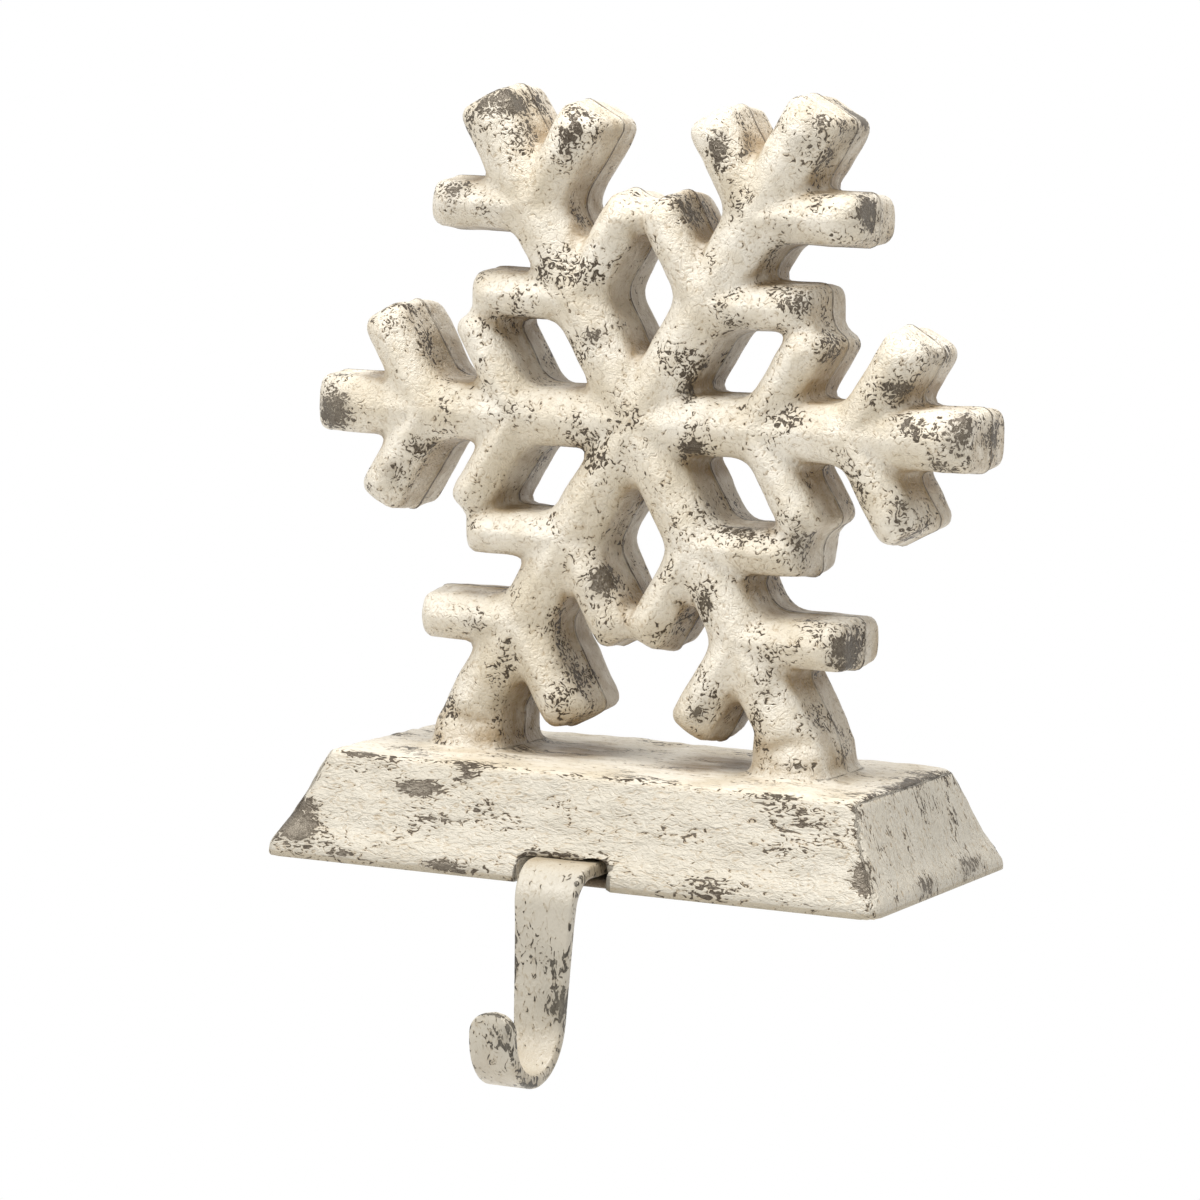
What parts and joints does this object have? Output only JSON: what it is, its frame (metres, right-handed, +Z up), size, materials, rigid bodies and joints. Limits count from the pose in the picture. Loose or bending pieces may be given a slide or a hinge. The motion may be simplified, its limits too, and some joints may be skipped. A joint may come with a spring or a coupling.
{
  "type": "mantel stocking holder",
  "caption": "Cast snowflake ornament on a weighted block that stands on a shelf, with a bent strip hook over the front edge to hang a stocking from.",
  "frame": {"origin": "middle of the felt pad's underside, on the shelf", "axes": "+X along the shelf, +Y back from the room towards the wall, +Z up; the hook hangs in front of the shelf, on the -Y side"},
  "size_m": [0.1646, 0.1168, 0.2176],
  "materials": {
    "casting_paint": "distressed cream paint on a sand casting",
    "hook_paint": "worn cream paint",
    "screw_steel": "plain",
    "pad_felt": "pressed felt"
  },
  "bodies": {
    "root": {"holder_casting": "casting_paint", "hook": "hook_paint", "hook_screws": "screw_steel", "base_pad": "pad_felt"}
  },
  "joints": []
}
